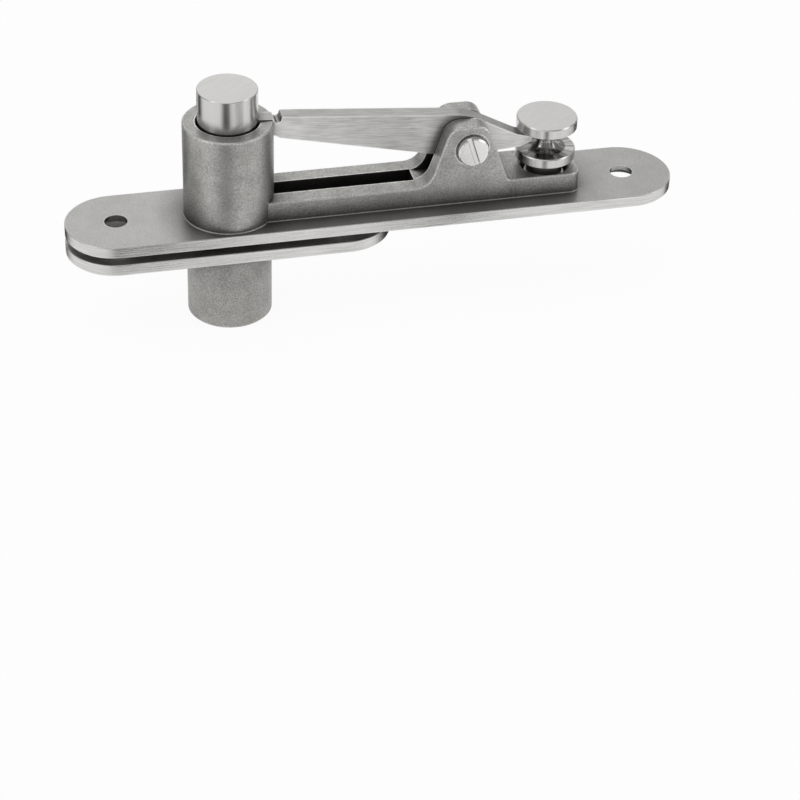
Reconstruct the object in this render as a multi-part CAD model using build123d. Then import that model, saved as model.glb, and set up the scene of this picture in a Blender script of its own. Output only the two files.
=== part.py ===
from build123d import *
from math import cos, radians, sin, tan
import os

# Retractable top pivot for a swing door, in stainless steel, sizes in millimetres.
# The origin is on the pin axis at the underside of the frame plate, +Z goes up into
# the frame, and +X points along the plate to the adjusting screw.
# The model stands as the lever lies with the pin drawn most of the way up.

# Plates
plate_width = 25.0
frame_plate_thickness = 3.0
frame_plate_left = 41.0        # pin axis to the short end
frame_plate_right = 115.0      # pin axis to the long end
door_plate_thickness = 3.0
door_plate_reach = 41.0        # pin axis to each end
plate_gap = 2.0                # air between the two plates
plate_edge_break = 0.15

# Fixing holes, countersunk on the face that stays in sight
hole_inset = 12.7              # end of a plate to the hole
fixing_hole_radius = 2.9
countersink_radius = 4.8

# Pin and what it runs in
pin_radius = 7.5
pin_stand = 8.95               # pin end above the housing rim
pin_engagement = 2.3           # pin end below the door plate's top face
pin_top_break = 0.15
pin_lead_in = 1.2
running_clearance = 0.05       # radial, pin in its guide and in the bush
guide_length = 13.0            # close bore, from the plate's underside
bore_relief = 0.55             # radial, wider bore above the guide
housing_wall = 3.2
housing_height = 28.6          # rim above the plate's underside
housing_rim_break = 0.3

# Cup on the door plate, and the sleeve pressed into it
bush_wall = 1.0
bush_recess = 0.3              # sleeve end below the door plate's top face
press_clearance = 0.02
cup_wall = 2.1
cup_length = 20.5              # below the door plate
cup_floor = 1.8
cup_edge_break = 0.5
cup_root_break = 0.4

# Body cast on the frame plate: rail, two ears and the screw block
rail_width_at_plate = 14.8
rail_top = 8.2                 # above the plate's underside
draft_angle = 1.9              # side faces lean inwards, degrees
block_overhang = 7.7           # screw axis to the block's end
block_corner_radius = 2.6
cast_edge_break = 0.25
cast_root_radius = 0.3
slot_width = 5.4               # trough for the lever in the rail
slot_reach = 46.7              # pin axis to the trough's end
slot_floor = 3.0               # above the plate's underside

# Ears and the lever's pivot screw
pivot_x = 60.35
pivot_z = 17.95
ear_rise = 6.2                 # the ears' flat top above the pivot
ear_left_foot = 10.8           # pivot to where the flank meets the rail's top
ear_right_foot = 9.8
ear_left_lean = 18.3           # degrees from upright
ear_right_lean = 20.5
ear_shoulder = 4.0             # radius from a flank to the flat top
ear_left_root = 5.0            # radius of the sweep into the rail
ear_right_root = 0.8
pivot_seat = 6.6               # centre plane to the flat under the screw head
pivot_seat_margin = 0.4        # flat around the head
pivot_head_radius = 3.9
pivot_head_height = 2.2
pivot_head_break = 0.3
pivot_shank_radius = 3.0
pivot_thread_radius = 2.5
pivot_end_recess = 0.5         # screw end inside the rear ear's face
driver_slot_width = 1.4
driver_slot_depth = 1.0
driver_slot_turn = 17.5        # degrees from upright

# Lever, drawn about its pivot with its long top edge level
lever_thickness = 4.0
lever_side_gap = 0.25          # each side, between the ears and in the housing wall
lever_rest_tilt = 5.1          # degrees, pin end up
lever_top = 7.08               # top edge above the pivot
lever_heel = 4.8               # lowest point below the pivot
lever_heel_x = 1.5             # heel left of the pivot
lever_heel_radius = 9.0
lever_bend_x = 0.6             # bend in the top edge left of the pivot
lever_bend_radius = 18.0
toe_height = 1.3               # lower edge at the housing end, above the pivot
toe_gap = 1.4                  # housing wall to the lever's full depth, along the lever
tongue_step = 0.66             # tongue's top below the lever's top edge
tongue_height = 4.1
tongue_reach = 3.5             # tongue end inside the pin's surface
tongue_end_radius = 1.9
shoulder_gap = 1.8             # housing wall to the step above the tongue
shoulder_radius = 0.5
toe_radius = 1.0               # corners where the tongue leaves the lower edge
chin_radius = 1.0
relief_radius = 0.9            # round nick in the step's corner
nose_gap = 1.75                # nose tip to the screw's waist
nose_lift = 0.55               # tip above the middle of the screw's groove
nose_tip_radius = 0.6
nose_back = 4.2                # tip to where the nose meets the arm
nose_top = 1.4                 # top edge there, above the pivot
nose_chin = 2.1                # lower edge there, below the pivot
nose_chin_back = 2.8           # tip to the lower corner

# Cross slot in the pin for the tongue
pin_slot_above = 0.5
pin_slot_below = 0.35
pin_slot_behind = 1.5

# Adjusting screw: two collars with a round groove between them, neck and shank
screw_x = 81.4
top_collar_radius = 7.7
top_collar_height = 2.8
low_collar_radius = 7.6
low_collar_height = 2.6
groove_height = 5.8
groove_waist = 2.45            # radius
collar_break = 0.25
neck_radius = 4.55
neck_length = 4.5
shank_radius = 6.0
shank_length = 7.3
shank_chamfer = 1.0
shank_clearance = 0.08         # radial, shank in the block
bore_mouth = 0.7               # countersink around the shank's bore
hex_across_flats = 6.0
hex_depth = 4.5

# Sizes that follow from the ones above
guide_radius = pin_radius + running_clearance
relief_bore_radius = pin_radius + bore_relief
housing_radius = relief_bore_radius + housing_wall
bush_radius = guide_radius + bush_wall
cup_radius = bush_radius + press_clearance + cup_wall
cup_bottom = -plate_gap - door_plate_thickness - cup_length
pin_top = housing_height + pin_stand
pin_bottom = -plate_gap - pin_engagement
lever_gap = lever_thickness + 2 * lever_side_gap
block_end = screw_x + block_overhang
ear_top = pivot_z + ear_rise
tilt = radians(lever_rest_tilt)
tongue_top = lever_top - tongue_step
tongue_middle = tongue_top - tongue_height / 2
nose_reach = screw_x - groove_waist - nose_gap - pivot_x
groove_middle = pivot_z - nose_reach * sin(tilt) - nose_lift
low_collar_top = groove_middle - groove_height / 2
shank_top = low_collar_top - low_collar_height - neck_length
cut_margin = 1.0               # how far a cutting tool runs past the face it opens


def along_lever(x, height):
    """Place along the lever, from its pivot, of a point at world x and this lever height."""
    return (x - pivot_x - height * sin(tilt)) / cos(tilt)


def level_at(x, height):
    """World height of a point of the lever at world x, for a height above the lever's axis."""
    return pivot_z - along_lever(x, height) * sin(tilt) + height * cos(tilt)


def half_width_at(z):
    """Half the width of the cast body at height z, with its draft."""
    return rail_width_at_plate / 2 - (z - frame_plate_thickness) * tan(radians(draft_angle))


def corner_at(sketch, x, y):
    """The corner of a sketch on the XZ plane that lies nearest to a point."""
    return sketch.vertices().sort_by_distance(Vector(x, 0, y))[0]


def round_ended_plate(left, right, bottom, thickness):
    """Flat bar with full-radius ends and broken edges."""
    outline = SlotOverall(right - left, plate_width)
    plate = Pos((left + right) / 2, 0, bottom) * extrude(outline, thickness)
    faces = plate.faces().sort_by(Axis.Z)
    return chamfer(faces[0].edges() + faces[-1].edges(), plate_edge_break)


def fixing_holes(places, face, opposite):
    """Countersunk screw holes, wide at the height of face."""
    sink = countersink_radius - fixing_hole_radius
    inward = 1 if opposite > face else -1
    profile = Polygon(
        (0, face - inward * cut_margin),
        (countersink_radius + cut_margin, face - inward * cut_margin),
        (fixing_hole_radius, face + inward * sink),
        (fixing_hole_radius, opposite + inward * cut_margin),
        (0, opposite + inward * cut_margin),
        align=None,
    )
    tool = revolve(Plane.XZ * profile, Axis.Z)
    return [Pos(x, 0, 0) * tool for x in places]


def upright(radius, bottom, top, x=0.0):
    """Plain cylinder about an upright axis."""
    return Pos(x, 0, bottom) * extrude(Circle(radius), top - bottom)


def crosswise(radius, front, back):
    """Plain cylinder through the lever's pivot, from y = front to y = back."""
    return Plane.XZ.offset(-front) * Pos(pivot_x, pivot_z) * extrude(Circle(radius), front - back)


def block(x_low, x_high, width, z_low, z_high):
    """Cutting block on the centre plane."""
    shape = Box(x_high - x_low, width, z_high - z_low, align=(Align.MIN, Align.CENTER, Align.MIN))
    return Pos(x_low, 0, z_low) * shape


def body_side_view():
    """Rail, ears and block seen from the side: leaning flanks, round shoulders, flat top."""
    rise = ear_top - rail_top
    left_foot = pivot_x - ear_left_foot
    right_foot = pivot_x + ear_right_foot
    left_shoulder = left_foot + rise * tan(radians(ear_left_lean))
    right_shoulder = right_foot - rise * tan(radians(ear_right_lean))
    view = Plane.XZ * Polygon(
        (0, 0), (block_end, 0), (block_end, rail_top), (right_foot, rail_top),
        (right_shoulder, ear_top), (left_shoulder, ear_top), (left_foot, rail_top),
        (0, rail_top), align=None,
    )
    view = fillet(corner_at(view, left_shoulder, ear_top), ear_shoulder)
    view = fillet(corner_at(view, right_shoulder, ear_top), ear_shoulder)
    view = fillet(corner_at(view, left_foot, rail_top), ear_left_root)
    return fillet(corner_at(view, right_foot, rail_top), ear_right_root)


def cast_body():
    """Rail with its ears and block: drafted sides, rounded block corners and top outline."""
    widest = half_width_at(0)
    narrowest = half_width_at(ear_top + cut_margin)
    slab = extrude(body_side_view(), widest, both=True)
    envelope = Plane.YZ * Polygon(
        (-widest, 0), (widest, 0), (narrowest, ear_top + cut_margin),
        (-narrowest, ear_top + cut_margin), align=None,
    )
    body = slab & extrude(envelope, block_end)
    end_face = body.faces().sort_by(Axis.X)[-1]
    body = fillet([e for e in end_face.edges() if abs(e.tangent_at(0).Z) > 0.5], block_corner_radius)
    top_edge = rail_top - cast_edge_break
    outline = [
        e for e in body.edges()
        if e.center().Z > top_edge and abs(e.center().Y) > narrowest and e.center().X > 0
    ]
    end_edge = [e for e in body.edges() if e.center().X > block_end - cast_edge_break]
    end_edge = [e for e in end_edge if e.center().Z > top_edge]
    return chamfer(outline + end_edge, cast_edge_break)


def frame_casting():
    """Frame plate, pin housing, rail, ears and screw block, cast in one piece."""
    plate = round_ended_plate(-frame_plate_left, frame_plate_right, 0, frame_plate_thickness)
    housing = upright(housing_radius, 0, housing_height)
    housing = chamfer(housing.edges().group_by(Axis.Z)[-1], housing_rim_break)
    casting = plate + cast_body() + housing
    roots = [
        e for e in casting.edges()
        if abs(e.center().Z - frame_plate_thickness) < 0.01
        and e.bounding_box().size.Z < 0.01
        and abs(e.center().Y) < rail_width_at_plate / 2 + cut_margin
        and -housing_radius - cut_margin < e.center().X < block_end + cut_margin
    ]
    casting = fillet(roots, cast_root_radius)
    bore_end = housing_height + cut_margin
    casting -= upright(guide_radius, -cut_margin, guide_length)
    casting -= upright(relief_bore_radius, guide_length, bore_end)
    wall_end = housing_radius + cut_margin
    casting -= block(0, wall_end, lever_gap, slot_floor, bore_end)
    casting -= block(pin_radius, slot_reach, slot_width, slot_floor, rail_top + cut_margin)
    casting -= block(slot_reach, block_end, lever_gap, rail_top, ear_top + cut_margin)
    casting -= upright(shank_radius + shank_clearance, -cut_margin, rail_top + cut_margin, screw_x)
    mouth = Cone(
        shank_radius + shank_clearance, shank_radius + shank_clearance + bore_mouth, bore_mouth,
        align=(Align.CENTER, Align.CENTER, Align.MAX),
    )
    casting -= Pos(screw_x, 0, rail_top) * mouth
    ear_face = rail_width_at_plate / 2
    casting -= crosswise(pivot_shank_radius + running_clearance, -ear_face, 0)
    casting -= crosswise(pivot_thread_radius + press_clearance, 0, ear_face)
    casting -= crosswise(pivot_head_radius + pivot_seat_margin, -ear_face, -pivot_seat)
    places = (hole_inset - frame_plate_left, frame_plate_right - hole_inset)
    return casting - fixing_holes(places, 0, frame_plate_thickness)


def lever_outline():
    """Flat lever about its pivot: tongue, relieved step, tapering arm, heel and nose."""
    tip_x = along_lever(pin_radius - tongue_reach, tongue_middle)
    shoulder_x = along_lever(housing_radius + shoulder_gap, lever_top)
    toe_x = along_lever(housing_radius, toe_height) + toe_gap
    throat_x = toe_x - (tongue_top - tongue_height - toe_height) * 2
    tongue_bottom = tongue_top - tongue_height
    outline = Polygon(
        (tip_x, tongue_top), (shoulder_x, tongue_top), (shoulder_x, lever_top),
        (-lever_bend_x, lever_top), (nose_reach - nose_back, nose_top),
        (nose_reach, nose_tip_radius), (nose_reach, -nose_tip_radius),
        (nose_reach - nose_chin_back, -nose_chin),
        (-lever_heel_x, -lever_heel), (toe_x, toe_height), (throat_x, tongue_bottom),
        (tip_x, tongue_bottom), align=None,
    )
    rounds = (
        (tip_x, tongue_top, tongue_end_radius),
        (tip_x, tongue_bottom, tongue_end_radius),
        (shoulder_x, lever_top, shoulder_radius),
        (toe_x, toe_height, toe_radius),
        (throat_x, tongue_bottom, toe_radius),
        (-lever_bend_x, lever_top, lever_bend_radius),
        (-lever_heel_x, -lever_heel, lever_heel_radius),
        (nose_reach - nose_back, nose_top, nose_back),
        (nose_reach - nose_chin_back, -nose_chin, chin_radius),
        (nose_reach, nose_tip_radius, nose_tip_radius),
        (nose_reach, -nose_tip_radius, nose_tip_radius),
    )
    for x, y, radius in rounds:
        corner = outline.vertices().sort_by_distance(Vector(x, y, 0))[0]
        outline = fillet(corner, radius)
    outline -= Pos(shoulder_x - relief_radius, tongue_top) * Circle(relief_radius)
    return outline - Circle(pivot_shank_radius + running_clearance)


def lever():
    """Lever cut from flat bar, tilted as it stands at rest."""
    flat = extrude(Plane.XZ * lever_outline(), lever_thickness / 2, both=True)
    return Pos(pivot_x, 0, pivot_z) * Rot(0, lever_rest_tilt, 0) * flat


def lever_screw():
    """Slotted shoulder screw: head on its flat, plain shank, end in the rear ear."""
    shank_end = lever_gap / 2
    end = half_width_at(pivot_z) - pivot_end_recess
    head = crosswise(pivot_head_radius, -pivot_seat - pivot_head_height, -pivot_seat)
    head = chamfer(head.edges().group_by(Axis.Y)[0], pivot_head_break)
    driver = Box(driver_slot_width, driver_slot_depth, 3 * pivot_head_radius)
    driver_y = -pivot_seat - pivot_head_height + driver_slot_depth / 2
    head -= Pos(pivot_x, driver_y, pivot_z) * Rot(0, -driver_slot_turn, 0) * driver
    shank = crosswise(pivot_shank_radius, -pivot_seat, shank_end)
    return head + shank + crosswise(pivot_thread_radius, shank_end, end)


def pivot_pin():
    """Plain pin with a lead-in at its lower end and a cross slot for the tongue."""
    pin = upright(pin_radius, pin_bottom, pin_top)
    pin = chamfer(pin.edges().group_by(Axis.Z)[-1], pin_top_break)
    pin = chamfer(pin.edges().group_by(Axis.Z)[0], pin_lead_in)
    top = level_at(pin_radius, tongue_top) + pin_slot_above
    bottom = level_at(pin_radius, tongue_top - tongue_height) - pin_slot_below
    back = pin_radius - tongue_reach - pin_slot_behind
    return pin - block(back, pin_radius + cut_margin, lever_gap, bottom, top)


def adjusting_screw():
    """Two collars turned with a full round groove between them, a neck and the shank."""
    groove_top = groove_middle + groove_height / 2
    top = groove_top + top_collar_height
    low_collar_bottom = low_collar_top - low_collar_height
    shank_bottom = shank_top - shank_length
    groove_centre = groove_waist + groove_height / 2
    with BuildSketch(Plane.XZ) as section:
        with BuildLine():
            Polyline(
                (0, top), (top_collar_radius, top), (top_collar_radius, groove_top),
                (groove_centre, groove_top),
            )
            ThreePointArc(
                (groove_centre, groove_top), (groove_waist, groove_middle),
                (groove_centre, low_collar_top),
            )
            Polyline(
                (groove_centre, low_collar_top), (low_collar_radius, low_collar_top),
                (low_collar_radius, low_collar_bottom), (neck_radius, low_collar_bottom),
                (neck_radius, shank_top), (shank_radius, shank_top),
                (shank_radius, shank_bottom), (0, shank_bottom), (0, top),
            )
        make_face()
    screw = Pos(screw_x, 0, 0) * revolve(section.sketch, Axis.Z)
    collars = screw.edges().filter_by(
        lambda e: e.geom_type == GeomType.CIRCLE and e.radius > low_collar_radius - collar_break
    )
    screw = chamfer(collars, collar_break)
    ends = screw.edges().filter_by(
        lambda e: e.geom_type == GeomType.CIRCLE and abs(e.radius - shank_radius) < 0.001
    )
    screw = chamfer(ends, shank_chamfer)
    socket = Pos(screw_x, 0, shank_bottom) * extrude(
        RegularPolygon(hex_across_flats / 2, 6, major_radius=False), hex_depth
    )
    return screw - socket


def door_casting():
    """Door plate with its closed cup below."""
    top = -plate_gap
    bottom = top - door_plate_thickness
    plate = round_ended_plate(-door_plate_reach, door_plate_reach, bottom, door_plate_thickness)
    cup = upright(cup_radius, cup_bottom, top - door_plate_thickness / 2)
    cup = chamfer(cup.edges().group_by(Axis.Z)[0], cup_edge_break)
    casting = plate + cup
    root = [
        e for e in casting.edges()
        if e.geom_type == GeomType.CIRCLE and abs(e.radius - cup_radius) < 0.001
        and abs(e.center().Z - bottom) < 0.001
    ]
    casting = chamfer(root, cup_root_break)
    casting -= upright(bush_radius + press_clearance, cup_bottom + cup_floor, top + cut_margin)
    places = (hole_inset - door_plate_reach, door_plate_reach - hole_inset)
    return casting - fixing_holes(places, top, bottom)


def door_bush():
    """Bearing sleeve that stands on the cup's floor."""
    bottom = cup_bottom + cup_floor
    top = -plate_gap - bush_recess
    sleeve = upright(bush_radius, bottom, top) - upright(guide_radius, bottom, top)
    return chamfer(sleeve.edges().group_by(Axis.Z)[-1].sort_by(SortBy.RADIUS)[0], bush_wall / 2)


nodes = {
    "frame_casting": frame_casting,
    "pivot_pin": pivot_pin,
    "lever": lever,
    "lever_screw": lever_screw,
    "adjusting_screw": adjusting_screw,
    "door_casting": door_casting,
    "door_bush": door_bush,
}

os.makedirs("parts", exist_ok=True)
for name, make in nodes.items():
    export_step(make(), f"parts/{name}.step")
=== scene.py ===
"""Looks of a retractable top pivot for a swing door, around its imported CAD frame."""

import math

import bmesh
import bpy
from bpy.props import FloatProperty, FloatVectorProperty, PointerProperty
from mathutils import Matrix, Vector


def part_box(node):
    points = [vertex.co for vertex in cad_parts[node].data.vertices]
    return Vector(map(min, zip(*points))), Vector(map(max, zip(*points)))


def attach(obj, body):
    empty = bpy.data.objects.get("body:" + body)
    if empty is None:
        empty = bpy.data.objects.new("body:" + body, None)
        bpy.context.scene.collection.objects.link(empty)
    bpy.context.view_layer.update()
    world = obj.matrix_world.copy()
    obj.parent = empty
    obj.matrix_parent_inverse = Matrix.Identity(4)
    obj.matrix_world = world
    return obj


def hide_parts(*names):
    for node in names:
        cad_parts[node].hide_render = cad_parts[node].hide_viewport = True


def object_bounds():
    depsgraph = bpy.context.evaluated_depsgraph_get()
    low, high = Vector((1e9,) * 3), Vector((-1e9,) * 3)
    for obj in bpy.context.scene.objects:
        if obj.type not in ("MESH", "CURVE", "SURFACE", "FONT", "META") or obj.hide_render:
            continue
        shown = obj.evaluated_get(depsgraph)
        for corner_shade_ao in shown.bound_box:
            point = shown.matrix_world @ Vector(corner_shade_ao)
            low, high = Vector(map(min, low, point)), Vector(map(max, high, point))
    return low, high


bl_info = {
    "name": "Retractable door pivot",
    "version": (1, 0, 0),
    "blender": (4, 5, 0),
    "location": "View3D > Sidebar > Door pivot",
    "description": "Finishes and turned details of a retractable top door pivot",
    "category": "Object",
}

MM = 0.001
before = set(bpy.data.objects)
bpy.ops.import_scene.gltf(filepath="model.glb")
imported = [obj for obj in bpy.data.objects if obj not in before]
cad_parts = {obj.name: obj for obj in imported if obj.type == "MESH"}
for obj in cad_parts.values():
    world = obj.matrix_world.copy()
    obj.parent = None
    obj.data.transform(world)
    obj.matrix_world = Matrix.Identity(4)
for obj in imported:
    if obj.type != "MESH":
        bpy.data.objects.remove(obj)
cad_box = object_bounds()
SCREW_LOW, SCREW_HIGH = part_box("adjusting_screw")
SCREW_AXIS = Vector(((SCREW_LOW.x + SCREW_HIGH.x) / 2, 0.0, 0.0))
PIVOT_LOW, PIVOT_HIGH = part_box("lever_screw")
PIVOT_POINT = Vector(((PIVOT_LOW.x + PIVOT_HIGH.x) / 2, 0.0, (PIVOT_LOW.z + PIVOT_HIGH.z) / 2))
LEVER_TILT = math.radians(5.1)  # slope of the lever's brush lines at rest
STROKE_SLANT = math.radians(35)  # direction of the linishing strokes on the turned ends
CRISP_ANGLE = math.radians(35)  # an edge that turns more than this stays sharp
ARC_STEPS = 20  # straight stretches in the groove's half round
MERGE_GAP = 0.002 * MM  # points nearer than this are one
CARD_NEAR, CARD_FAR = 56 * MM, 200 * MM  # where a black card begins and ends, from its axis


def linear(hex_colour):
    """A colour written as sRGB hex, as linear red, green and blue."""
    channels = [int(hex_colour[i:i + 2], 16) / 255 for i in (1, 3, 5)]
    return tuple(c / 12.92 if c <= 0.04045 else ((c + 0.055) / 1.055) ** 2.4 for c in channels)


def add_node(tree, kind, inputs=None, **settings):
    """A new shader node with its settings; an input is a value or the socket it comes from."""
    made = tree.nodes.new("ShaderNode" + kind)
    for name, value in settings.items():
        setattr(made, name, value)
    for name, value in (inputs or {}).items():
        if isinstance(value, bpy.types.NodeSocket):
            tree.links.new(value, made.inputs[name])
        else:
            made.inputs[name].default_value = value
    return made


def new_material(name):
    """An empty node material with its tree."""
    material = bpy.data.materials.new(name)
    material.use_nodes = True
    material.node_tree.nodes.clear()
    return material, material.node_tree


def close_metal(tree, colour, roughness, normal, anisotropic=0.0, tangent=None):
    """Ends a tree in a metal shader; metals keep the default IOR."""
    inputs = {"Base Color": colour, "Metallic": 1.0, "Roughness": roughness, "Normal": normal,
              "Anisotropic": anisotropic}
    if tangent is not None:
        inputs["Tangent"] = tangent
    shader = add_node(tree, "BsdfPrincipled", inputs)
    add_node(tree, "OutputMaterial", {"Surface": shader.outputs["BSDF"]})


def paint(node_name, material):
    """Puts a material on a carried-over CAD node."""
    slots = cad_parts[node_name].data.materials
    slots.clear()
    slots.append(material)


class PivotSizes(bpy.types.PropertyGroup):
    """Sizes of the details that are made here."""

    plate_thickness: FloatProperty(
        name="Plate thickness", description="Thickness of both plates",
        default=3.0 * MM, unit="LENGTH")
    thread_pitch: FloatProperty(
        name="Thread pitch", description="Rise of the adjusting screw's thread in one turn",
        default=1.75 * MM, unit="LENGTH")
    thread_depth: FloatProperty(
        name="Thread depth", description="Crest to root of the adjusting screw's thread",
        default=0.95 * MM, unit="LENGTH")
    thread_radius: FloatProperty(
        name="Thread radius", description="Radius over the thread's crests",
        default=6.0 * MM, unit="LENGTH")
    socket_width: FloatProperty(
        name="Socket width", description="Hexagon socket of the adjusting screw, across its flats",
        default=6.0 * MM, unit="LENGTH")
    socket_depth: FloatProperty(
        name="Socket depth", description="Depth of the hexagon socket",
        default=4.5 * MM, unit="LENGTH")
    top_collar_radius: FloatProperty(
        name="Top collar radius", description="Radius of the adjusting screw's upper collar",
        default=7.7 * MM, unit="LENGTH")
    top_collar_height: FloatProperty(
        name="Top collar height", description="Thickness of the upper collar",
        default=2.8 * MM, unit="LENGTH")
    low_collar_radius: FloatProperty(
        name="Low collar radius", description="Radius of the adjusting screw's lower collar",
        default=7.6 * MM, unit="LENGTH")
    low_collar_height: FloatProperty(
        name="Low collar height", description="Thickness of the lower collar",
        default=2.6 * MM, unit="LENGTH")
    collar_break: FloatProperty(
        name="Collar edge", description="Small bevel round both collars",
        default=0.25 * MM, unit="LENGTH")
    groove_height: FloatProperty(
        name="Groove height", description="Height of the round groove that the lever's nose runs in",
        default=5.8 * MM, unit="LENGTH")
    groove_waist: FloatProperty(
        name="Groove waist", description="Smallest radius in the groove",
        default=2.45 * MM, unit="LENGTH")
    neck_radius: FloatProperty(
        name="Neck radius", description="Plain neck between the lower collar and the thread",
        default=4.55 * MM, unit="LENGTH")
    neck_length: FloatProperty(
        name="Neck length", description="Length of the plain neck",
        default=4.5 * MM, unit="LENGTH")
    # the bright line along the edges is partly wear and partly painted highlight
    edge_wear_and_highlight: FloatProperty(
        name="Worn edge", description="Width of the bright line along the castings' outer edges",
        default=0.45 * MM, unit="LENGTH")
    cast_grain: FloatProperty(
        name="Cast grain", description="Size of the blasted grain on the castings",
        default=0.38 * MM, unit="LENGTH")
    brush_pitch: FloatProperty(
        name="Brush line", description="Distance between brush lines on bar and plate edges",
        default=0.28 * MM, unit="LENGTH")


class PivotColours(bpy.types.PropertyGroup):
    """Colours of the metals."""

    cast_skin: FloatVectorProperty(
        name="Cast skin", description="Blasted skin of the castings",
        subtype="COLOR", size=3, min=0, max=1, default=linear("#b0afac"))
    # painted shade: the same cast skin as the frame's, painted darker on the door's cup
    cup_skin_with_painted_shade: FloatVectorProperty(
        name="Cup skin", description="Blasted skin of the door's cup",
        subtype="COLOR", size=3, min=0, max=1, default=linear("#9a9996"))
    plate_face: FloatVectorProperty(
        name="Plate face", description="Satin faces of the plates",
        subtype="COLOR", size=3, min=0, max=1, default=linear("#bcbbb9"))
    plate_edge: FloatVectorProperty(
        name="Plate edge", description="Brushed edges of the plates",
        subtype="COLOR", size=3, min=0, max=1, default=linear("#d3d2d0"))
    turned_side: FloatVectorProperty(
        name="Turned sides", description="Turned sides of the pin and the adjusting screw",
        subtype="COLOR", size=3, min=0, max=1, default=linear("#cfcecc"))
    turned_end: FloatVectorProperty(
        name="Linished ends", description="Flat ends of the pin and the adjusting screw",
        subtype="COLOR", size=3, min=0, max=1, default=linear("#d4d3d1"))
    groove: FloatVectorProperty(
        name="Polished groove", description="Groove between the adjusting screw's collars",
        subtype="COLOR", size=3, min=0, max=1, default=linear("#b2b1af"))
    bar: FloatVectorProperty(
        name="Brushed bar", description="Lever",
        subtype="COLOR", size=3, min=0, max=1, default=linear("#e0dfdd"))
    bright: FloatVectorProperty(
        name="Bright screw", description="Slotted screw of the lever",
        subtype="COLOR", size=3, min=0, max=1, default=linear("#eeedeb"))
    bronze: FloatVectorProperty(
        name="Bearing bronze", description="Sleeve in the door's cup",
        subtype="COLOR", size=3, min=0, max=1, default=linear("#a9824b"))
    floor: FloatVectorProperty(
        name="Floor", description="Plain pale floor",
        subtype="COLOR", size=3, min=0, max=1, default=linear("#f7f7f7"))
    card: FloatVectorProperty(
        name="Card", description="Black cards that the metal mirrors",
        subtype="COLOR", size=3, min=0, max=1, default=linear("#2a2a2a"))


class PivotStudio(bpy.types.PropertyGroup):
    """Light and camera."""

    place: FloatVectorProperty(
        name="Camera place", description="Where the camera stands",
        subtype="TRANSLATION", size=3, default=(-0.092677, -0.539764, 0.341065), precision=6)
    lens: FloatProperty(
        name="Lens", description="Focal length of the camera on a 36 mm sensor, in millimetres",
        default=115.526)
    azimuth: FloatProperty(
        name="Azimuth", description="Turn of the camera about the upright axis",
        default=-0.251, subtype="ANGLE")
    elevation: FloatProperty(
        name="Elevation", description="Tilt of the camera above the horizon",
        default=0.626, subtype="ANGLE")
    roll: FloatProperty(
        name="Roll", description="Turn of the camera about its own axis",
        default=0.034, subtype="ANGLE")
    sky: FloatProperty(
        name="Sky", description="Strength of the even light from all round", default=0.45)
    top_lamp: FloatProperty(
        name="Top lamp", description="Radiance of the soft light overhead", default=0.88)
    floor_lift: FloatProperty(
        name="Floor lift", description="How far the floor is lifted to white", default=0.94,
        min=0.0, max=1.0, subtype="FACTOR")
    pin_card: FloatProperty(
        name="Pin card", description="Width of the black cards round the pin",
        default=86 * MM, unit="LENGTH")
    screw_card: FloatProperty(
        name="Screw card", description="Width of the black cards round the adjusting screw",
        default=34 * MM, unit="LENGTH")


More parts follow.
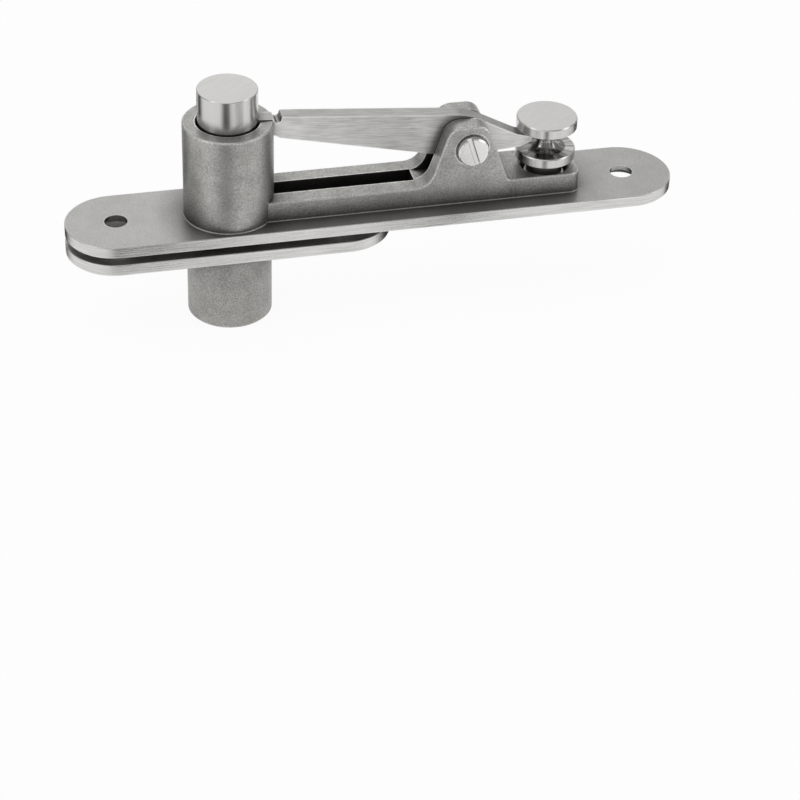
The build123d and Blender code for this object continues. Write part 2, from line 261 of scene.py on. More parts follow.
def blasted_casting(name, skin_colour, colours, sizes, plate_low, plate_high):
    """Investment-cast stainless steel, blasted all over, with ground plate edges.

    The blasting leaves an even sparkling grain. Painted shade darkens the corners, and the outer
    edges carry thin bright lines, partly wear from handling and partly painted highlight.
    """
    material, tree = new_material(name)
    place = add_node(tree, "TexCoord")
    at = place.outputs["Object"]
    height = add_node(tree, "SeparateXYZ", {"Vector": at}).outputs["Z"]
    up = add_node(tree, "SeparateXYZ", {"Vector": place.outputs["Normal"]}).outputs["Z"]
    steepness = add_node(tree, "Math", {0: up}, operation="ABSOLUTE").outputs[0]
    above = add_node(tree, "Math", {0: height, 1: plate_low - 0.1 * MM}, operation="GREATER_THAN")
    below = add_node(tree, "Math", {0: height, 1: plate_high + 0.1 * MM}, operation="LESS_THAN")
    in_plate = add_node(tree, "Math", {0: above.outputs[0], 1: below.outputs[0]}, operation="MULTIPLY")
    flat = add_node(tree, "Math", {0: steepness, 1: 0.7}, operation="GREATER_THAN")
    face = add_node(tree, "Math", {0: in_plate.outputs[0], 1: flat.outputs[0]}, operation="MULTIPLY")
    side = add_node(tree, "Math", {0: in_plate.outputs[0], 1: face.outputs[0]}, operation="SUBTRACT")

    # grain of the blasting, coarser than the real grit so that it shows
    grit_place = add_node(tree, "Mapping", {
        "Vector": at, "Scale": (sizes.cast_grain,) * 3}, vector_type="TEXTURE")
    grit = add_node(tree, "TexNoise", {
        "Vector": grit_place.outputs[0], "Scale": 1.0, "Detail": 2.0, "Roughness": 0.7})
    mottle_place = add_node(tree, "Mapping", {
        "Vector": at, "Scale": (5 * MM, 5 * MM, 5 * MM)}, vector_type="TEXTURE")
    mottle = add_node(tree, "TexNoise", {
        "Vector": mottle_place.outputs[0], "Scale": 1.0, "Detail": 3.0, "Roughness": 0.6})
    # grinding lines run round the plate's edge at one height
    brush_place = add_node(tree, "Mapping", {
        "Vector": at, "Scale": (9 * MM, 9 * MM, sizes.brush_pitch)}, vector_type="TEXTURE")
    brush = add_node(tree, "TexNoise", {
        "Vector": brush_place.outputs[0], "Scale": 1.0, "Detail": 4.0, "Roughness": 0.65})

    # painted shade: the skin darkens where the casting's own surfaces are near, in corners and on the ledge
    # before the rail
    corner_shade_ao = add_node(tree, "AmbientOcclusion", {"Distance": 9 * MM}, samples=8, only_local=True)
    painted_corner_shade = add_node(tree, "MapRange", {
        "Value": corner_shade_ao.outputs["AO"], "From Min": 0.44, "From Max": 1.0, "To Min": 0.22, "To Max": 1.0})
    # bright outer edges, partly handling wear and partly painted highlight: rays sent inwards soon leave the
    # metal at an outer edge
    rim = add_node(tree, "AmbientOcclusion", {"Distance": sizes.edge_wear_and_highlight},
                   samples=8, inside=True, only_local=True)
    wear_and_highlight = add_node(tree, "MapRange", {
        "Value": rim.outputs["AO"], "From Min": 0.97, "From Max": 0.7, "To Min": 0.0, "To Max": 1.0})
    grit_tone = add_node(tree, "MapRange", {
        "Value": grit.outputs["Fac"], "From Min": 0.32, "From Max": 0.68, "To Min": 0.74, "To Max": 1.28})
    mottle_tone = add_node(tree, "MapRange", {
        "Value": mottle.outputs["Fac"], "From Min": 0.3, "From Max": 0.7, "To Min": 0.88, "To Max": 1.12})
    skin_tone = add_node(tree, "Math", {
        0: grit_tone.outputs[0], 1: mottle_tone.outputs[0]}, operation="MULTIPLY")
    face_tone = add_node(tree, "MapRange", {
        "Value": skin_tone.outputs[0], "From Min": 0.6, "From Max": 1.4, "To Min": 0.84, "To Max": 1.16})
    brush_tone = add_node(tree, "MapRange", {
        "Value": brush.outputs["Fac"], "From Min": 0.3, "From Max": 0.7, "To Min": 0.76, "To Max": 1.16})
    open_tone = add_node(tree, "Mix", {
        "Factor": face.outputs[0], "A": skin_tone.outputs[0], "B": face_tone.outputs[0]}, data_type="FLOAT")
    body_tone = add_node(tree, "Mix", {
        "Factor": side.outputs[0], "A": open_tone.outputs[0], "B": brush_tone.outputs[0]}, data_type="FLOAT")
    # the plates' ground corners show it less than the cast ones
    wear_and_highlight_share = add_node(tree, "MapRange", {
        "Value": in_plate.outputs[0], "From Min": 0.0, "From Max": 1.0, "To Min": 1.0, "To Max": 0.25})
    wear_and_highlight_part = add_node(tree, "Math", {
        0: wear_and_highlight.outputs[0], 1: wear_and_highlight_share.outputs[0]}, operation="MULTIPLY")
    wear_and_highlight_tone = add_node(tree, "MapRange", {
        "Value": wear_and_highlight_part.outputs[0], "From Min": 0.0, "From Max": 1.0, "To Min": 1.0, "To Max": 1.9})
    edged = add_node(tree, "Math", {
        0: body_tone.outputs[0], 1: wear_and_highlight_tone.outputs[0]}, operation="MULTIPLY")
    tone = add_node(tree, "Math", {
        0: edged.outputs[0], 1: painted_corner_shade.outputs[0]}, operation="MULTIPLY")

    skin = add_node(tree, "Mix", {
        "Factor": face.outputs[0], 6: (*skin_colour, 1), 7: (*colours.plate_face, 1)}, data_type="RGBA")
    metal = add_node(tree, "Mix", {
        "Factor": side.outputs[0], 6: skin.outputs[2], 7: (*colours.plate_edge, 1)}, data_type="RGBA")
    toned = add_node(tree, "VectorMath", {
        0: metal.outputs[2], "Scale": tone.outputs[0]}, operation="SCALE")

    cast_rough = add_node(tree, "MapRange", {
        "Value": grit.outputs["Fac"], "From Min": 0.3, "From Max": 0.7, "To Min": 0.5, "To Max": 0.36})
    side_rough = add_node(tree, "MapRange", {
        "Value": brush.outputs["Fac"], "From Min": 0.3, "From Max": 0.7, "To Min": 0.22, "To Max": 0.34})
    rough = add_node(tree, "Mix", {
        "Factor": side.outputs[0], "A": cast_rough.outputs[0], "B": side_rough.outputs[0]}, data_type="FLOAT")
    relief = add_node(tree, "Mix", {
        "Factor": side.outputs[0], "A": grit.outputs["Fac"], "B": brush.outputs["Fac"]}, data_type="FLOAT")
    bump = add_node(tree, "Bump", {
        "Strength": 0.5, "Distance": 0.06 * MM, "Height": relief.outputs[0]})
    close_metal(tree, toned.outputs[0], rough.outputs[0], bump.outputs[0])
    return material


def turned_steel(name, side_colour, end_colour, axis_point, side_rough, end_rough, shade_reach):
    """Bar turned in a lathe, its ends linished in straight strokes.

    The fine turning rings draw each reflection out along the axis, so the sides show
    upright light and dark bands, and the linished ends stay an even, lighter satin.
    """
    material, tree = new_material(name)
    place = add_node(tree, "TexCoord")
    centred = add_node(tree, "Mapping", {
        "Vector": place.outputs["Object"], "Location": axis_point}, vector_type="TEXTURE")
    part = add_node(tree, "SeparateXYZ", {"Vector": centred.outputs[0]})
    upright = add_node(tree, "SeparateXYZ", {"Vector": place.outputs["Normal"]}).outputs["Z"]
    steepness = add_node(tree, "Math", {0: upright}, operation="ABSOLUTE").outputs[0]
    end = add_node(tree, "Math", {0: steepness, 1: 0.9}, operation="GREATER_THAN").outputs[0]

    # turning rings on the sides, 0.3 mm apart so that they show
    ring_place = add_node(tree, "CombineXYZ", {"Z": part.outputs["Z"]})
    ring_scaled = add_node(tree, "Mapping", {
        "Vector": ring_place.outputs[0], "Scale": (1.0, 1.0, 0.3 * MM)}, vector_type="TEXTURE")
    rings = add_node(tree, "TexNoise", {
        "Vector": ring_scaled.outputs[0], "Scale": 1.0, "Detail": 2.0, "Roughness": 0.6})
    # upright draw marks of the bar
    draw_place = add_node(tree, "Mapping", {
        "Vector": centred.outputs[0], "Scale": (0.4 * MM, 0.4 * MM, 30 * MM)}, vector_type="TEXTURE")
    draws = add_node(tree, "TexNoise", {
        "Vector": draw_place.outputs[0], "Scale": 1.0, "Detail": 2.0, "Roughness": 0.6})
    # linishing strokes on the ends, aslant across them
    stroke_place = add_node(tree, "Mapping", {
        "Vector": centred.outputs[0], "Rotation": (0.0, 0.0, STROKE_SLANT),
        "Scale": (7 * MM, 0.3 * MM, 7 * MM)}, vector_type="TEXTURE")
    strokes = add_node(tree, "TexNoise", {
        "Vector": stroke_place.outputs[0], "Scale": 1.0, "Detail": 3.0, "Roughness": 0.65})
    side_lines = add_node(tree, "Mix", {
        "Factor": 0.6, "A": rings.outputs["Fac"], "B": draws.outputs["Fac"]}, data_type="FLOAT")
    lines = add_node(tree, "Mix", {
        "Factor": end, "A": side_lines.outputs[0], "B": strokes.outputs["Fac"]}, data_type="FLOAT")

    # painted shade: darker in the thread, under the collars and where the pin enters its housing
    occlusion_shade = add_node(tree, "AmbientOcclusion", {"Distance": shade_reach}, samples=8)
    painted_shade_tone = add_node(tree, "MapRange", {
        "Value": occlusion_shade.outputs["AO"], "From Min": 0.3, "From Max": 0.85, "To Min": 0.12, "To Max": 1.0})
    tone = add_node(tree, "MapRange", {
        "Value": lines.outputs[0], "From Min": 0.3, "From Max": 0.7, "To Min": 0.93, "To Max": 1.07})
    tone_with_painted_shade = add_node(tree, "Math", {
        0: tone.outputs[0], 1: painted_shade_tone.outputs[0]}, operation="MULTIPLY")
    metal = add_node(tree, "Mix", {
        "Factor": end, 6: (*side_colour, 1), 7: (*end_colour, 1)}, data_type="RGBA")
    toned = add_node(tree, "VectorMath", {
        0: metal.outputs[2], "Scale": tone_with_painted_shade.outputs[0]}, operation="SCALE")
    rough = add_node(tree, "Mix", {
        "Factor": end, "A": side_rough, "B": end_rough}, data_type="FLOAT")
    bump = add_node(tree, "Bump", {
        "Strength": 0.2, "Distance": 0.02 * MM, "Height": lines.outputs[0]})
    # reflections are drawn out along the axis on the sides and across the strokes on the ends
    drawn = add_node(tree, "Mix", {
        "Factor": end, 4: (0.0, 0.0, 1.0), 5: (-math.sin(STROKE_SLANT), math.cos(STROKE_SLANT), 0.0)},
        data_type="VECTOR")
    tangent = add_node(tree, "VectorTransform", {
        "Vector": drawn.outputs[1]}, vector_type="VECTOR", convert_from="OBJECT", convert_to="WORLD")
    close_metal(tree, toned.outputs[0], rough.outputs[0], bump.outputs[0], 0.7, tangent.outputs[0])
    return material


def polished_groove(name, colour):
    """Form-turned and polished steel: a near mirror, its streaks fanning out from the waist, their light and
    dark tone painted reflection and the groove's depth painted shade.
    """
    material, tree = new_material(name)
    place = add_node(tree, "TexCoord")
    centred = add_node(tree, "Mapping", {
        "Vector": place.outputs["Object"], "Location": SCREW_AXIS}, vector_type="TEXTURE")
    level = add_node(tree, "VectorMath", {0: centred.outputs[0], 1: (1.0, 1.0, 0.0)}, operation="MULTIPLY")
    around = add_node(tree, "VectorMath", {0: level.outputs[0]}, operation="NORMALIZE")
    # one streak about every 15 degrees, 0.6 mm apart at the waist
    streak_place = add_node(tree, "Mapping", {
        "Vector": around.outputs[0], "Scale": (0.25, 0.25, 1.0)}, vector_type="TEXTURE")
    streaks = add_node(tree, "TexNoise", {
        "Vector": streak_place.outputs[0], "Scale": 1.0, "Detail": 2.0, "Roughness": 0.6})
    # painted shade: darker deep in the groove and under the collars
    occlusion_shade = add_node(tree, "AmbientOcclusion", {"Distance": 4 * MM}, samples=8)
    painted_shade_tone = add_node(tree, "MapRange", {
        "Value": occlusion_shade.outputs["AO"], "From Min": 0.1, "From Max": 0.8, "To Min": 0.2, "To Max": 0.85})
    # painted reflection: light and dark streaks in the colour, fanning round the axis
    tone = add_node(tree, "MapRange", {
        "Value": streaks.outputs["Fac"], "From Min": 0.38, "From Max": 0.62, "To Min": 0.4, "To Max": 1.15})
    tone_with_painted_shade = add_node(tree, "Math", {
        0: tone.outputs[0], 1: painted_shade_tone.outputs[0]}, operation="MULTIPLY")
    toned = add_node(tree, "VectorMath", {0: colour, "Scale": tone_with_painted_shade.outputs[0]}, operation="SCALE")
    rough = add_node(tree, "MapRange", {
        "Value": streaks.outputs["Fac"], "From Min": 0.3, "From Max": 0.7, "To Min": 0.24, "To Max": 0.14})
    bump = add_node(tree, "Bump", {
        "Strength": 0.2, "Distance": 0.05 * MM, "Height": streaks.outputs["Fac"]})
    close_metal(tree, toned.outputs[0], rough.outputs[0], bump.outputs[0])
    return material


def brushed_bar(name, colour, line_pitch):
    """Flat stainless bar brushed along its length.

    The long lines draw its reflections out crosswise, and its edges carry a bright line, partly rubbing wear
    and partly painted highlight.
    """
    material, tree = new_material(name)
    place = add_node(tree, "TexCoord")
    along = add_node(tree, "Mapping", {
        "Vector": place.outputs["Object"], "Location": PIVOT_POINT,
        "Rotation": (0.0, LEVER_TILT, 0.0), "Scale": (6 * MM, line_pitch, line_pitch)},
        vector_type="TEXTURE")
    lines = add_node(tree, "TexNoise", {
        "Vector": along.outputs[0], "Scale": 1.0, "Detail": 4.0, "Roughness": 0.65})
    cloud_place = add_node(tree, "Mapping", {
        "Vector": place.outputs["Object"], "Scale": (5 * MM, 3 * MM, 2.5 * MM)}, vector_type="TEXTURE")
    cloud = add_node(tree, "TexNoise", {
        "Vector": cloud_place.outputs[0], "Scale": 1.0, "Detail": 3.0})
    # painted reflection: a dark seam beside the ears, deep on the long arm and faint on the short arm, in
    # place of the ears' mirrored flanks
    reach = add_node(tree, "SeparateXYZ", {"Vector": place.outputs["Object"]})
    painted_seam_depth = add_node(tree, "MapRange", {
        "Value": reach.outputs["X"], "From Min": PIVOT_POINT.x, "From Max": PIVOT_POINT.x + 3 * MM,
        "To Min": 0.3, "To Max": 0.85}, interpolation_type="SMOOTHSTEP")
    occlusion_shade = add_node(tree, "AmbientOcclusion", {"Distance": 7 * MM}, samples=16)
    painted_shade_tone = add_node(tree, "MapRange", {
        "Value": occlusion_shade.outputs["AO"], "From Min": 0.58, "From Max": 0.8,
        "To Min": painted_seam_depth.outputs[0], "To Max": 1.0})
    # bright edges, partly rubbing wear and partly painted highlight
    rim = add_node(tree, "AmbientOcclusion", {"Distance": 0.35 * MM},
                   samples=8, inside=True, only_local=True)
    wear_and_highlight_tone = add_node(tree, "MapRange", {
        "Value": rim.outputs["AO"], "From Min": 0.95, "From Max": 0.7, "To Min": 1.0, "To Max": 1.4})
    line_tone = add_node(tree, "MapRange", {
        "Value": lines.outputs["Fac"], "From Min": 0.3, "From Max": 0.7, "To Min": 0.7, "To Max": 1.22})
    cloud_tone = add_node(tree, "MapRange", {
        "Value": cloud.outputs["Fac"], "From Min": 0.3, "From Max": 0.7, "To Min": 0.92, "To Max": 1.08})
    # the sawn narrow sides are a shade darker than the brushed faces
    crosswise = add_node(tree, "SeparateXYZ", {"Vector": place.outputs["Normal"]}).outputs["Y"]
    facing = add_node(tree, "Math", {0: crosswise}, operation="ABSOLUTE")
    sawn_tone = add_node(tree, "MapRange", {
        "Value": facing.outputs[0], "From Min": 0.4, "From Max": 0.6, "To Min": 0.8, "To Max": 1.0})
    open_tone = add_node(tree, "Math", {
        0: line_tone.outputs[0], 1: cloud_tone.outputs[0]}, operation="MULTIPLY")
    sided_tone = add_node(tree, "Math", {
        0: open_tone.outputs[0], 1: sawn_tone.outputs[0]}, operation="MULTIPLY")
    edged_tone = add_node(tree, "Math", {
        0: sided_tone.outputs[0], 1: wear_and_highlight_tone.outputs[0]}, operation="MULTIPLY")
    tone = add_node(tree, "Math", {
        0: edged_tone.outputs[0], 1: painted_shade_tone.outputs[0]}, operation="MULTIPLY")
    toned = add_node(tree, "VectorMath", {0: colour, "Scale": tone.outputs[0]}, operation="SCALE")
    rough = add_node(tree, "MapRange", {
        "Value": lines.outputs["Fac"], "From Min": 0.3, "From Max": 0.7, "To Min": 0.27, "To Max": 0.4})
    bump = add_node(tree, "Bump", {
        "Strength": 0.35, "Distance": 0.03 * MM, "Height": lines.outputs["Fac"]})
    # reflections are drawn out across the lines, upwards on the sides and crosswise on the edges
    tangent = add_node(tree, "VectorTransform", {
        "Vector": (0.0, 0.7, 0.7)}, vector_type="VECTOR", convert_from="OBJECT", convert_to="WORLD")
    close_metal(tree, toned.outputs[0], rough.outputs[0], bump.outputs[0], 0.9, tangent.outputs[0])
    return material


def bright_steel(name, colour):
    """Polished screw steel with faint handling marks, its driver slot and other recesses darkened with
    painted shade.
    """
    material, tree = new_material(name)
    place = add_node(tree, "TexCoord")
    spot_place = add_node(tree, "Mapping", {
        "Vector": place.outputs["Object"], "Scale": (1.2 * MM,) * 3}, vector_type="TEXTURE")
    spots = add_node(tree, "TexNoise", {
        "Vector": spot_place.outputs[0], "Scale": 1.0, "Detail": 4.0})
    # painted shade: the driver slot and the recesses darken where occluded
    slot = add_node(tree, "AmbientOcclusion", {"Distance": 0.8 * MM}, samples=8)
    painted_slot_shade = add_node(tree, "MapRange", {
        "Value": slot.outputs["AO"], "From Min": 0.35, "From Max": 0.8, "To Min": 0.12, "To Max": 1.0})
    spot_tone = add_node(tree, "MapRange", {
        "Value": spots.outputs["Fac"], "From Min": 0.3, "From Max": 0.7, "To Min": 0.88, "To Max": 1.05})
    tone = add_node(tree, "Math", {
        0: spot_tone.outputs[0], 1: painted_slot_shade.outputs[0]}, operation="MULTIPLY")
    toned = add_node(tree, "VectorMath", {0: colour, "Scale": tone.outputs[0]}, operation="SCALE")
    rough = add_node(tree, "MapRange", {
        "Value": spots.outputs["Fac"], "From Min": 0.3, "From Max": 0.7, "To Min": 0.18, "To Max": 0.32})
    bump = add_node(tree, "Bump", {
        "Strength": 0.15, "Distance": 0.02 * MM, "Height": spots.outputs["Fac"]})
    close_metal(tree, toned.outputs[0], rough.outputs[0], bump.outputs[0])
    return material


def lathe(mesh, profile, steps):
    """Spins a profile of (radius, height) points on the screw's axis into a closed form."""
    line = [mesh.verts.new((SCREW_AXIS.x + radius, 0.0, height)) for radius, height in profile]
    edges = [mesh.edges.new(pair) for pair in zip(line, line[1:])]
    bmesh.ops.spin(mesh, geom=line + edges, cent=SCREW_AXIS, axis=(0.0, 0.0, 1.0),
                   angle=2 * math.pi, steps=steps, use_merge=True)


def threaded_shank(mesh, sizes, bottom, top, steps):
    """A thread cut between two heights, chamfered at both ends, with a hexagon socket below."""
    crest = sizes.thread_radius
    root = crest - sizes.thread_depth
    pitch = sizes.thread_pitch
    turns = math.ceil((top - bottom) / pitch) + 2
    start = bottom - 1.5 * pitch
    tooth = ((0.0, root), (0.08, root), (0.42, crest), (0.58, crest), (0.92, root))
    points = [(start + (n + part) * pitch, radius) for n in range(turns) for part, radius in tooth]
    line = [mesh.verts.new((SCREW_AXIS.x + radius, 0.0, height)) for height, radius in points]
    edges = [mesh.edges.new(pair) for pair in zip(line, line[1:])]
    bmesh.ops.spin(mesh, geom=line + edges, cent=SCREW_AXIS, axis=(0.0, 0.0, 1.0),
                   dvec=(0.0, 0.0, pitch / steps), angle=2 * math.pi, steps=steps, use_merge=False)
    bmesh.ops.remove_doubles(mesh, verts=mesh.verts[:], dist=MERGE_GAP)
    for height, outward in ((bottom, -1.0), (top, 1.0)):
        bmesh.ops.bisect_plane(
            mesh, geom=mesh.verts[:] + mesh.edges[:] + mesh.faces[:], dist=0.001 * MM,
            plane_co=(0.0, 0.0, height), plane_no=(0.0, 0.0, outward), clear_outer=True)
    for vert in mesh.verts:
        arm = vert.co - SCREW_AXIS
        arm.z = 0.0
        end_gap = min(vert.co.z - bottom, top - vert.co.z)
        limit = crest - max(sizes.thread_depth - end_gap, 0.0)
        if arm.length > limit:
            vert.co -= arm * (1 - limit / arm.length)
    open_edges = [edge for edge in mesh.edges if edge.is_boundary]
    low_loop = [edge for edge in open_edges if edge.verts[0].co.z < (bottom + top) / 2]
    high_loop = [edge for edge in open_edges if edge not in low_loop]
    bmesh.ops.contextual_create(mesh, geom=high_loop)
    socket = bmesh.ops.create_circle(
        mesh, segments=6, radius=sizes.socket_width / math.sqrt(3),
        matrix=Matrix.Translation((SCREW_AXIS.x, 0.0, bottom)))["verts"]
    hexagon = list({edge for vert in socket for edge in vert.link_edges})
    bmesh.ops.bridge_loops(mesh, edges=low_loop + hexagon)
    wall = bmesh.ops.extrude_edge_only(mesh, edges=hexagon)["geom"]
    floor_verts = [item for item in wall if isinstance(item, bmesh.types.BMVert)]
    bmesh.ops.translate(mesh, vec=(0.0, 0.0, sizes.socket_depth), verts=floor_verts)
    bmesh.ops.contextual_create(mesh, geom=[
        item for item in wall if isinstance(item, bmesh.types.BMEdge)
        and all(vert in floor_verts for vert in item.verts)])


def finish_mesh(mesh, name):
    """A piece from a bmesh, its faces outwards, its round surfaces smooth and its edges crisp."""
    bmesh.ops.recalc_face_normals(mesh, faces=mesh.faces[:])
    for face in mesh.faces:
        face.smooth = True
    for edge in mesh.edges:
        edge.smooth = len(edge.link_faces) == 2 and edge.calc_face_angle() < CRISP_ANGLE
    data = bpy.data.meshes.new(name)
    mesh.to_mesh(data)
    mesh.free()
    piece = bpy.data.objects.new(name, data)
    bpy.context.scene.collection.objects.link(piece)
    return piece


class PIVOT_OT_castings(bpy.types.Operator):
    """Give both castings their blasted skin and brushed plate edges"""

    bl_idname = "pivot.castings"
    bl_label = "Finish castings"

    def execute(self, context):
        colours = context.scene.pivot_colours
        sizes = context.scene.pivot_sizes
        thickness = sizes.plate_thickness
        paint("frame_casting", blasted_casting(
            "blasted_frame_casting", colours.cast_skin, colours, sizes, 0.0, thickness))
        door_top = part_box("door_casting")[1].z
        # the door's casting gets the darker skin as painted shade
        paint("door_casting", blasted_casting(
            "blasted_door_casting", colours.cup_skin_with_painted_shade, colours, sizes, door_top - thickness, door_top))
        return {"FINISHED"}


class PIVOT_OT_lever(bpy.types.Operator):
    """Finish the lever and the screw that it turns on"""

    bl_idname = "pivot.lever"
    bl_label = "Finish lever"

    def execute(self, context):
        scene = context.scene
        paint("lever", brushed_bar("brushed_lever", scene.pivot_colours.bar, scene.pivot_sizes.brush_pitch))
        paint("lever_screw", bright_steel("bright_lever_screw", scene.pivot_colours.bright))
        return {"FINISHED"}


class PIVOT_OT_turned(bpy.types.Operator):
    """Finish the pin and the sleeve"""

    bl_idname = "pivot.turned"
    bl_label = "Finish pin and sleeve"

    def execute(self, context):
        colours = context.scene.pivot_colours
        pin_axis = (0.0, 0.0, 0.0)
        paint("pivot_pin", turned_steel(
            "turned_pin", colours.turned_side, colours.turned_end, pin_axis, 0.24, 0.34, 6 * MM))
        paint("door_bush", turned_steel(
            "turned_bronze_sleeve", colours.bronze, colours.bronze, pin_axis, 0.3, 0.34, 1.5 * MM))
        return {"FINISHED"}


class PIVOT_OT_adjuster(bpy.types.Operator):
    """Make the adjusting screw with its polished groove, thread and socket"""

    bl_idname = "pivot.adjuster"
    bl_label = "Make adjusting screw"

    def execute(self, context):
        scene = context.scene
        sizes = scene.pivot_sizes
        top = SCREW_HIGH.z
        groove_top = top - sizes.top_collar_height
        groove_middle = groove_top - sizes.groove_height / 2
        groove_bottom = groove_top - sizes.groove_height
        low_bottom = groove_bottom - sizes.low_collar_height
        shank_top = low_bottom - sizes.neck_length
        neck_bottom = shank_top - 0.5 * MM  # the neck ends inside the shank
        bevel = sizes.collar_break
        groove_radius = sizes.groove_height / 2
        groove_centre = sizes.groove_waist + groove_radius
        half_turn = [math.pi * n / ARC_STEPS for n in range(ARC_STEPS + 1)]
        arc = [(groove_centre - groove_radius * math.sin(angle),
                groove_middle + groove_radius * math.cos(angle)) for angle in half_turn]
        spool = bmesh.new()
        lathe(spool, [
            (0.0, top), (sizes.top_collar_radius - bevel, top),
            (sizes.top_collar_radius, top - bevel), (sizes.top_collar_radius, groove_top + bevel),
            (sizes.top_collar_radius - bevel, groove_top), *arc,
            (sizes.low_collar_radius - bevel, groove_bottom),
            (sizes.low_collar_radius, groove_bottom - bevel),
            (sizes.low_collar_radius, low_bottom + bevel),
            (sizes.low_collar_radius - bevel, low_bottom),
            (sizes.neck_radius, low_bottom), (sizes.neck_radius, neck_bottom), (0.0, neck_bottom)], 96)
        bmesh.ops.remove_doubles(spool, verts=spool.verts[:], dist=MERGE_GAP)
        for face in spool.faces:
            middle = face.calc_center_median()
            if groove_bottom - 0.01 * MM < middle.z < groove_top + 0.01 * MM:
                face.material_index = 1
        screw = finish_mesh(spool, "adjusting_spool")
        shank = bmesh.new()
        threaded_shank(shank, sizes, SCREW_LOW.z, shank_top, 64)
        thread = finish_mesh(shank, "adjusting_thread")
        colours = scene.pivot_colours
        steel = turned_steel(
            "turned_adjusting_screw", colours.turned_side, colours.turned_end, SCREW_AXIS,
            0.27, 0.36, 1.5 * MM)
        screw.data.materials.append(steel)
        screw.data.materials.append(polished_groove("polished_groove", colours.groove))
        thread.data.materials.append(steel)
        for piece in (screw, thread):
            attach(piece, "screw")
        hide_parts("adjusting_screw")
        return {"FINISHED"}


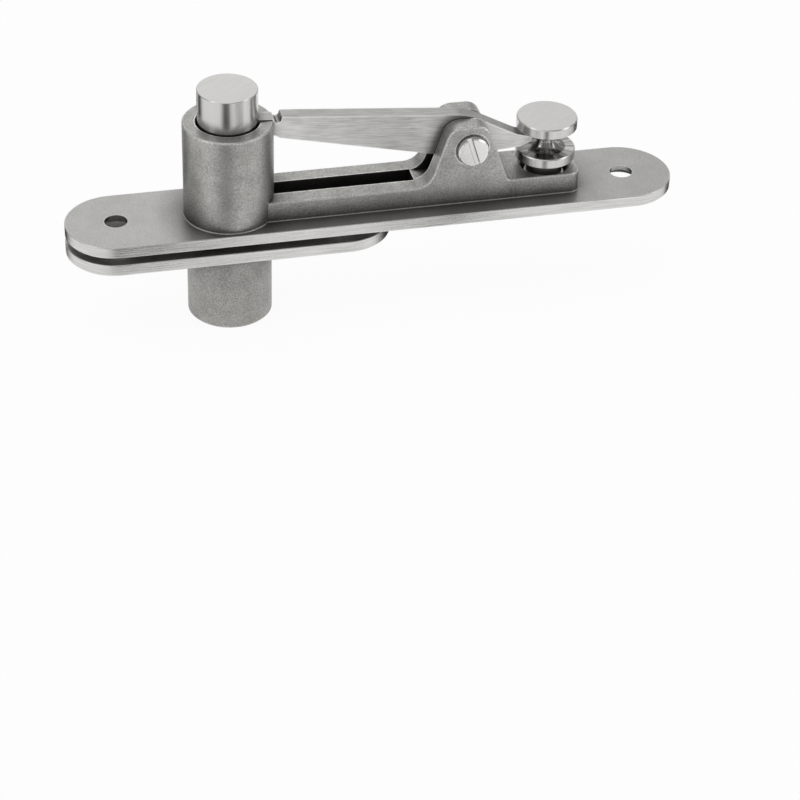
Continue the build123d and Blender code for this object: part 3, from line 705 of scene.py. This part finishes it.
class PIVOT_OT_studio(bpy.types.Operator):
    """Set up the floor, the soft light and the camera"""

    bl_idname = "pivot.studio"
    bl_label = "Set up studio"

    def execute(self, context):
        scene = context.scene
        studio = scene.pivot_studio
        sheet = bmesh.new()
        bmesh.ops.create_circle(sheet, cap_ends=True, segments=96, radius=4.0,
                                matrix=Matrix.Translation((0.03, 0.0, cad_box[0].z)))
        floor_mesh = bpy.data.meshes.new("studio_floor")
        sheet.to_mesh(floor_mesh)
        sheet.free()
        floor = bpy.data.objects.new("studio_floor", floor_mesh)
        scene.collection.objects.link(floor)
        material, tree = new_material("pale_paper_floor")
        # matt paper that takes the shadow, lifted to white where it is seen or mirrored
        paper = add_node(tree, "BsdfPrincipled", {
            "Base Color": (*scene.pivot_colours.floor, 1), "Roughness": 0.9, "Specular IOR Level": 0.1})
        white = add_node(tree, "Emission", {"Color": (1.0, 1.0, 1.0, 1.0), "Strength": 1.0})
        ray = add_node(tree, "LightPath")
        mirrored = add_node(tree, "Math", {
            0: ray.outputs["Is Glossy Ray"], 1: ray.outputs["Is Transmission Ray"]}, operation="MAXIMUM")
        seen = add_node(tree, "Math", {
            0: ray.outputs["Is Camera Ray"], 1: mirrored.outputs[0]}, operation="MAXIMUM")
        lift = add_node(tree, "Math", {0: seen.outputs[0], 1: studio.floor_lift}, operation="MULTIPLY")
        lifted = add_node(tree, "MixShader", {
            0: lift.outputs[0], 1: paper.outputs["BSDF"], 2: white.outputs[0]})
        add_node(tree, "OutputMaterial", {"Surface": lifted.outputs[0]})
        floor_mesh.materials.append(material)

        # black strips on the floor that only the metal mirrors, for the dark bands that
        # a turned part shows: one towards the camera and one a third of a turn to each side
        card = bmesh.new()
        card.loops.layers.uv.new("across")
        for axis_x, card_width in ((0.0, studio.pin_card), (SCREW_AXIS.x, studio.screw_card)):
            for third in range(3):
                turn = (Matrix.Translation((axis_x, 0.0, cad_box[0].z + 1 * MM))
                        @ Matrix.Rotation(studio.azimuth + third * 2 * math.pi / 3, 4, "Z")
                        @ Matrix.Translation((0.0, -(CARD_NEAR + CARD_FAR) / 2, 0.0))
                        @ Matrix.Diagonal((card_width, CARD_FAR - CARD_NEAR, 1.0, 1.0)))
                bmesh.ops.create_grid(card, x_segments=1, y_segments=1, size=0.5, matrix=turn, calc_uvs=True)
        card_mesh = bpy.data.meshes.new("black_cards")
        card.to_mesh(card_mesh)
        card.free()
        cards = bpy.data.objects.new("black_cards", card_mesh)
        scene.collection.objects.link(cards)
        for seen_by in ("camera", "diffuse", "shadow", "transmission", "volume_scatter"):
            setattr(cards, "visible_" + seen_by, False)
        black, black_tree = new_material("matt_black_card")
        soot = add_node(black_tree, "BsdfPrincipled", {
            "Base Color": (*scene.pivot_colours.card, 1), "Roughness": 0.95, "Specular IOR Level": 0.0})
        clear = add_node(black_tree, "BsdfTransparent")
        across = add_node(black_tree, "SeparateXYZ", {
            "Vector": add_node(black_tree, "TexCoord").outputs["UV"]})
        off_centre = add_node(black_tree, "Math", {
            0: across.outputs["X"], 1: 0.5}, operation="SUBTRACT")
        spread = add_node(black_tree, "Math", {0: off_centre.outputs[0]}, operation="ABSOLUTE")
        fade = add_node(black_tree, "MapRange", {
            "Value": spread.outputs[0], "From Min": 0.15, "From Max": 0.5, "To Min": 0.0, "To Max": 1.0},
            interpolation_type="SMOOTHSTEP")
        soft = add_node(black_tree, "MixShader", {
            0: fade.outputs[0], 1: soot.outputs["BSDF"], 2: clear.outputs[0]})
        add_node(black_tree, "OutputMaterial", {"Surface": soft.outputs[0]})
        card_mesh.materials.append(black)

        world = bpy.data.worlds.new("even_studio_light")
        scene.world = world
        world.use_nodes = True
        world.node_tree.nodes.clear()
        sky = add_node(world.node_tree, "Background", {
            "Color": (1.0, 1.0, 1.0, 1.0), "Strength": studio.sky})
        add_node(world.node_tree, "OutputWorld", {"Surface": sky.outputs[0]})

        centre = Vector((0.037, 0.0, 0.0))
        lamps = (
            ("overhead", (-0.3, 0.1, 1.3), 1.3, 1.3, studio.top_lamp),
            ("back", (0.05, 1.2, 0.75), 1.2, 0.5, 0.9),
            ("left", (-1.0, -0.35, 0.55), 0.35, 0.9, 1.4),
            ("right", (1.0, -0.35, 0.5), 0.4, 0.9, 1.6),
        )
        for lamp_name, spot, width, height, radiance in lamps:
            light = bpy.data.lights.new(lamp_name + "_softbox", "AREA")
            light.shape = "RECTANGLE"
            light.size, light.size_y = width, height
            light.energy = radiance * math.pi * width * height
            lamp = bpy.data.objects.new(lamp_name + "_softbox", light)
            scene.collection.objects.link(lamp)
            lamp.location = spot
            lamp.rotation_mode = "QUATERNION"
            lamp.rotation_quaternion = (Vector(spot) - centre).to_track_quat("Z", "Y")

        camera_data = bpy.data.cameras.new("photo_view")
        camera_data.lens = studio.lens
        camera_data.sensor_width = 36.0
        camera = bpy.data.objects.new("photo_view", camera_data)
        scene.collection.objects.link(camera)
        turn = (Matrix.Rotation(studio.azimuth, 4, "Z")
                @ Matrix.Rotation(math.pi / 2 - studio.elevation, 4, "X")
                @ Matrix.Rotation(studio.roll, 4, "Z"))
        camera.matrix_world = Matrix.Translation(studio.place) @ turn
        scene.camera = camera
        scene.view_settings.view_transform = "Standard"
        return {"FINISHED"}


class PIVOT_PT_panel(bpy.types.Panel):
    """Steps that finish the pivot"""

    bl_label = "Door pivot"
    bl_idname = "PIVOT_PT_panel"
    bl_space_type = "VIEW_3D"
    bl_region_type = "UI"
    bl_category = "Door pivot"

    def draw(self, context):
        for step in STEPS:
            self.layout.operator(step.bl_idname)


STEPS = (PIVOT_OT_castings, PIVOT_OT_lever, PIVOT_OT_turned, PIVOT_OT_adjuster, PIVOT_OT_studio)
GROUPS = {"pivot_sizes": PivotSizes, "pivot_colours": PivotColours, "pivot_studio": PivotStudio}
CLASSES = (*GROUPS.values(), *STEPS, PIVOT_PT_panel)


def register():
    for item in CLASSES:
        bpy.utils.register_class(item)
    for name, group in GROUPS.items():
        setattr(bpy.types.Scene, name, PointerProperty(type=group))


def unregister():
    for name in GROUPS:
        delattr(bpy.types.Scene, name)
    for item in reversed(CLASSES):
        bpy.utils.unregister_class(item)


def main():
    register()
    bpy.ops.pivot.castings()
    bpy.ops.pivot.lever()
    bpy.ops.pivot.turned()
    bpy.ops.pivot.adjuster()
    bpy.ops.pivot.studio()


if __name__ == "__main__":
    main()
